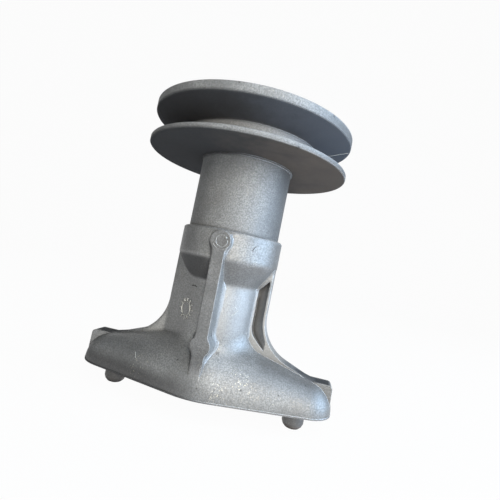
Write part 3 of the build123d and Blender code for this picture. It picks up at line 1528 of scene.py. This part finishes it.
LAMPS = (
    Softbox(
        "cool_lamp",
        azimuth=82.0,
        elevation=17.0,
        width=0.55,
        watts=6.2,
        colour=(0.55, 0.75, 1.0),
        distance=0.7,
    ),
    Softbox(
        "warm_lamp",
        azimuth=24.0,
        elevation=15.0,
        width=0.28,
        watts=4.2,
        colour=(1.0, 0.96, 0.88),
    ),
    Softbox(
        "left_lamp",
        azimuth=-36.0,
        elevation=12.0,
        width=0.2,
        watts=0.28,
        colour=(1.0, 0.98, 0.84),
    ),
    Softbox(
        "sky_lamp",
        azimuth=25.0,
        elevation=58.0,
        width=0.5,
        watts=2.6,
        colour=(0.8, 0.9, 1.0),
    ),
)


@dataclass
class Studio:
    """Camera, lamps, white sweep and the dim room around them. The camera's angles are in radians."""

    image_pixels: float = 500.0
    sensor: float = 36.0
    focal_pixels: float = 365.826
    clip_start: float = 5 * MM
    camera_distance: float = 160.248 * MM
    camera_azimuth: float = 0.1968
    camera_height: float = 53.653 * MM
    camera_yaw: float = -0.0519
    camera_pitch: float = 0.0396
    camera_roll: float = 0.1994
    aim_height: float = 50 * MM
    floor_gap: float = 0.05 * MM
    sweep_half_width: float = 2.4
    sweep_front: float = -1.2
    sweep_back: float = 1.6
    sweep_bend: float = 0.5
    sweep_top: float = 2.6
    bend_steps: int = 16
    room: Colour = (0.05, 0.052, 0.056)

    def build_camera(self) -> bpy.types.Object:
        """Place the camera where the photograph was taken.

        Returns:
            The camera's object.
        """
        lens = bpy.data.cameras.new("camera")
        lens.sensor_fit = "AUTO"
        lens.sensor_width = self.sensor
        lens.lens = self.sensor * self.focal_pixels / self.image_pixels
        lens.clip_start = self.clip_start
        camera = put_in_scene("camera", lens)
        turn = self.camera_azimuth + self.camera_yaw
        level = cos(self.camera_pitch)
        forward = Vector((-sin(turn) * level, cos(turn) * level, sin(self.camera_pitch)))
        right = Vector((cos(turn), sin(turn), 0.0))
        up = right.cross(forward)
        leaned_right = right * cos(self.camera_roll) + up * sin(self.camera_roll)
        leaned_up = up * cos(self.camera_roll) - right * sin(self.camera_roll)
        x = self.camera_distance * sin(self.camera_azimuth)
        y = -self.camera_distance * cos(self.camera_azimuth)
        turned = Matrix((leaned_right, leaned_up, -forward)).transposed().to_4x4()
        camera.matrix_world = Matrix.Translation((x, y, self.camera_height)) @ turned
        bpy.context.scene.camera = camera
        return camera

    def build_lamps(self) -> list[bpy.types.Object]:
        """Place the soft lamps."""
        return [lamp.build(UP * self.aim_height) for lamp in LAMPS]

    def build_sweep(self, floor_height: float, material: bpy.types.Material) -> bpy.types.Object:
        """Lay the white sweep: floor, bend and wall in one sheet.

        Args:
            floor_height: Height of the floor.
            material: The paper's finish.

        Returns:
            The sweep's object.
        """
        centre_y = self.sweep_back - self.sweep_bend
        centre_z = floor_height + self.sweep_bend
        profile = [(self.sweep_front, floor_height)]
        for angle in steps_between(0.0, 0.5 * pi, self.bend_steps):
            y = centre_y + self.sweep_bend * sin(angle)
            z = centre_z - self.sweep_bend * cos(angle)
            profile.append((y, z))
        profile.append((self.sweep_back, self.sweep_top))
        points = [(side * self.sweep_half_width, y, z) for y, z in profile for side in (-1.0, 1.0)]
        faces = [(2 * row, 2 * row + 1, 2 * row + 3, 2 * row + 2) for row in range(len(profile) - 1)]
        mesh = bpy.data.meshes.new("sweep")
        mesh.from_pydata(points, [], faces)
        mesh.materials.append(material)
        sweep = put_in_scene("sweep", mesh)
        return sweep

    def build_room(self) -> bpy.types.World:
        """Fill the room with dim, even light.

        Returns:
            The world.
        """
        world = bpy.data.worlds.new("room")
        world.use_nodes = True
        graph = Graph(world.node_tree)
        fill = graph.add("ShaderNodeBackground", {"Color": self.room, "Strength": 1.0})
        graph.add("ShaderNodeOutputWorld", {"Surface": fill.outputs[0]})
        bpy.context.scene.world = world
        return world


def main() -> None:
    """Build the scene in order and report each piece."""
    logging.basicConfig(level=logging.INFO, format="%(name)s: %(message)s")
    bpy.context.scene.view_settings.view_transform = "Standard"
    effects = Effects()
    finishes = (CAST, ROUNDED, RUBBED, PRINTED, DARK_LINE_FINISH)
    cast, rounded, rubbed, printed, dark_line_finish = (finish.material(effects) for finish in finishes)
    casting = Casting()
    hub = casting.dress(cast)
    LOG.info("casting dressed: %d faces", len(hub.data.polygons))
    pieces = [
        DateDial(casting).build(rubbed),
        *EjectorMark(casting).build(printed, rubbed),
        CastLines(casting, "bright_lines", BRIGHT_LINES).build(rubbed),
        CastLines(casting, "dark_lines", DARK_LINES).build(dark_line_finish),
        PartingFlash(casting).build(rubbed),
        *WallRoots(casting).build(cast, rounded),
        RibToe(casting).build(rounded),
    ]
    for piece in pieces:
        LOG.info("%s built: %d faces", piece.name, len(piece.data.polygons))
    studio = Studio()
    floor_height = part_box(HUB)[0].z - studio.floor_gap
    studio.build_sweep(floor_height, PaperFinish("white_paper").material())
    studio.build_room()
    studio.build_lamps()
    studio.build_camera()
    LOG.info("studio built")


if __name__ == "__main__":
    main()
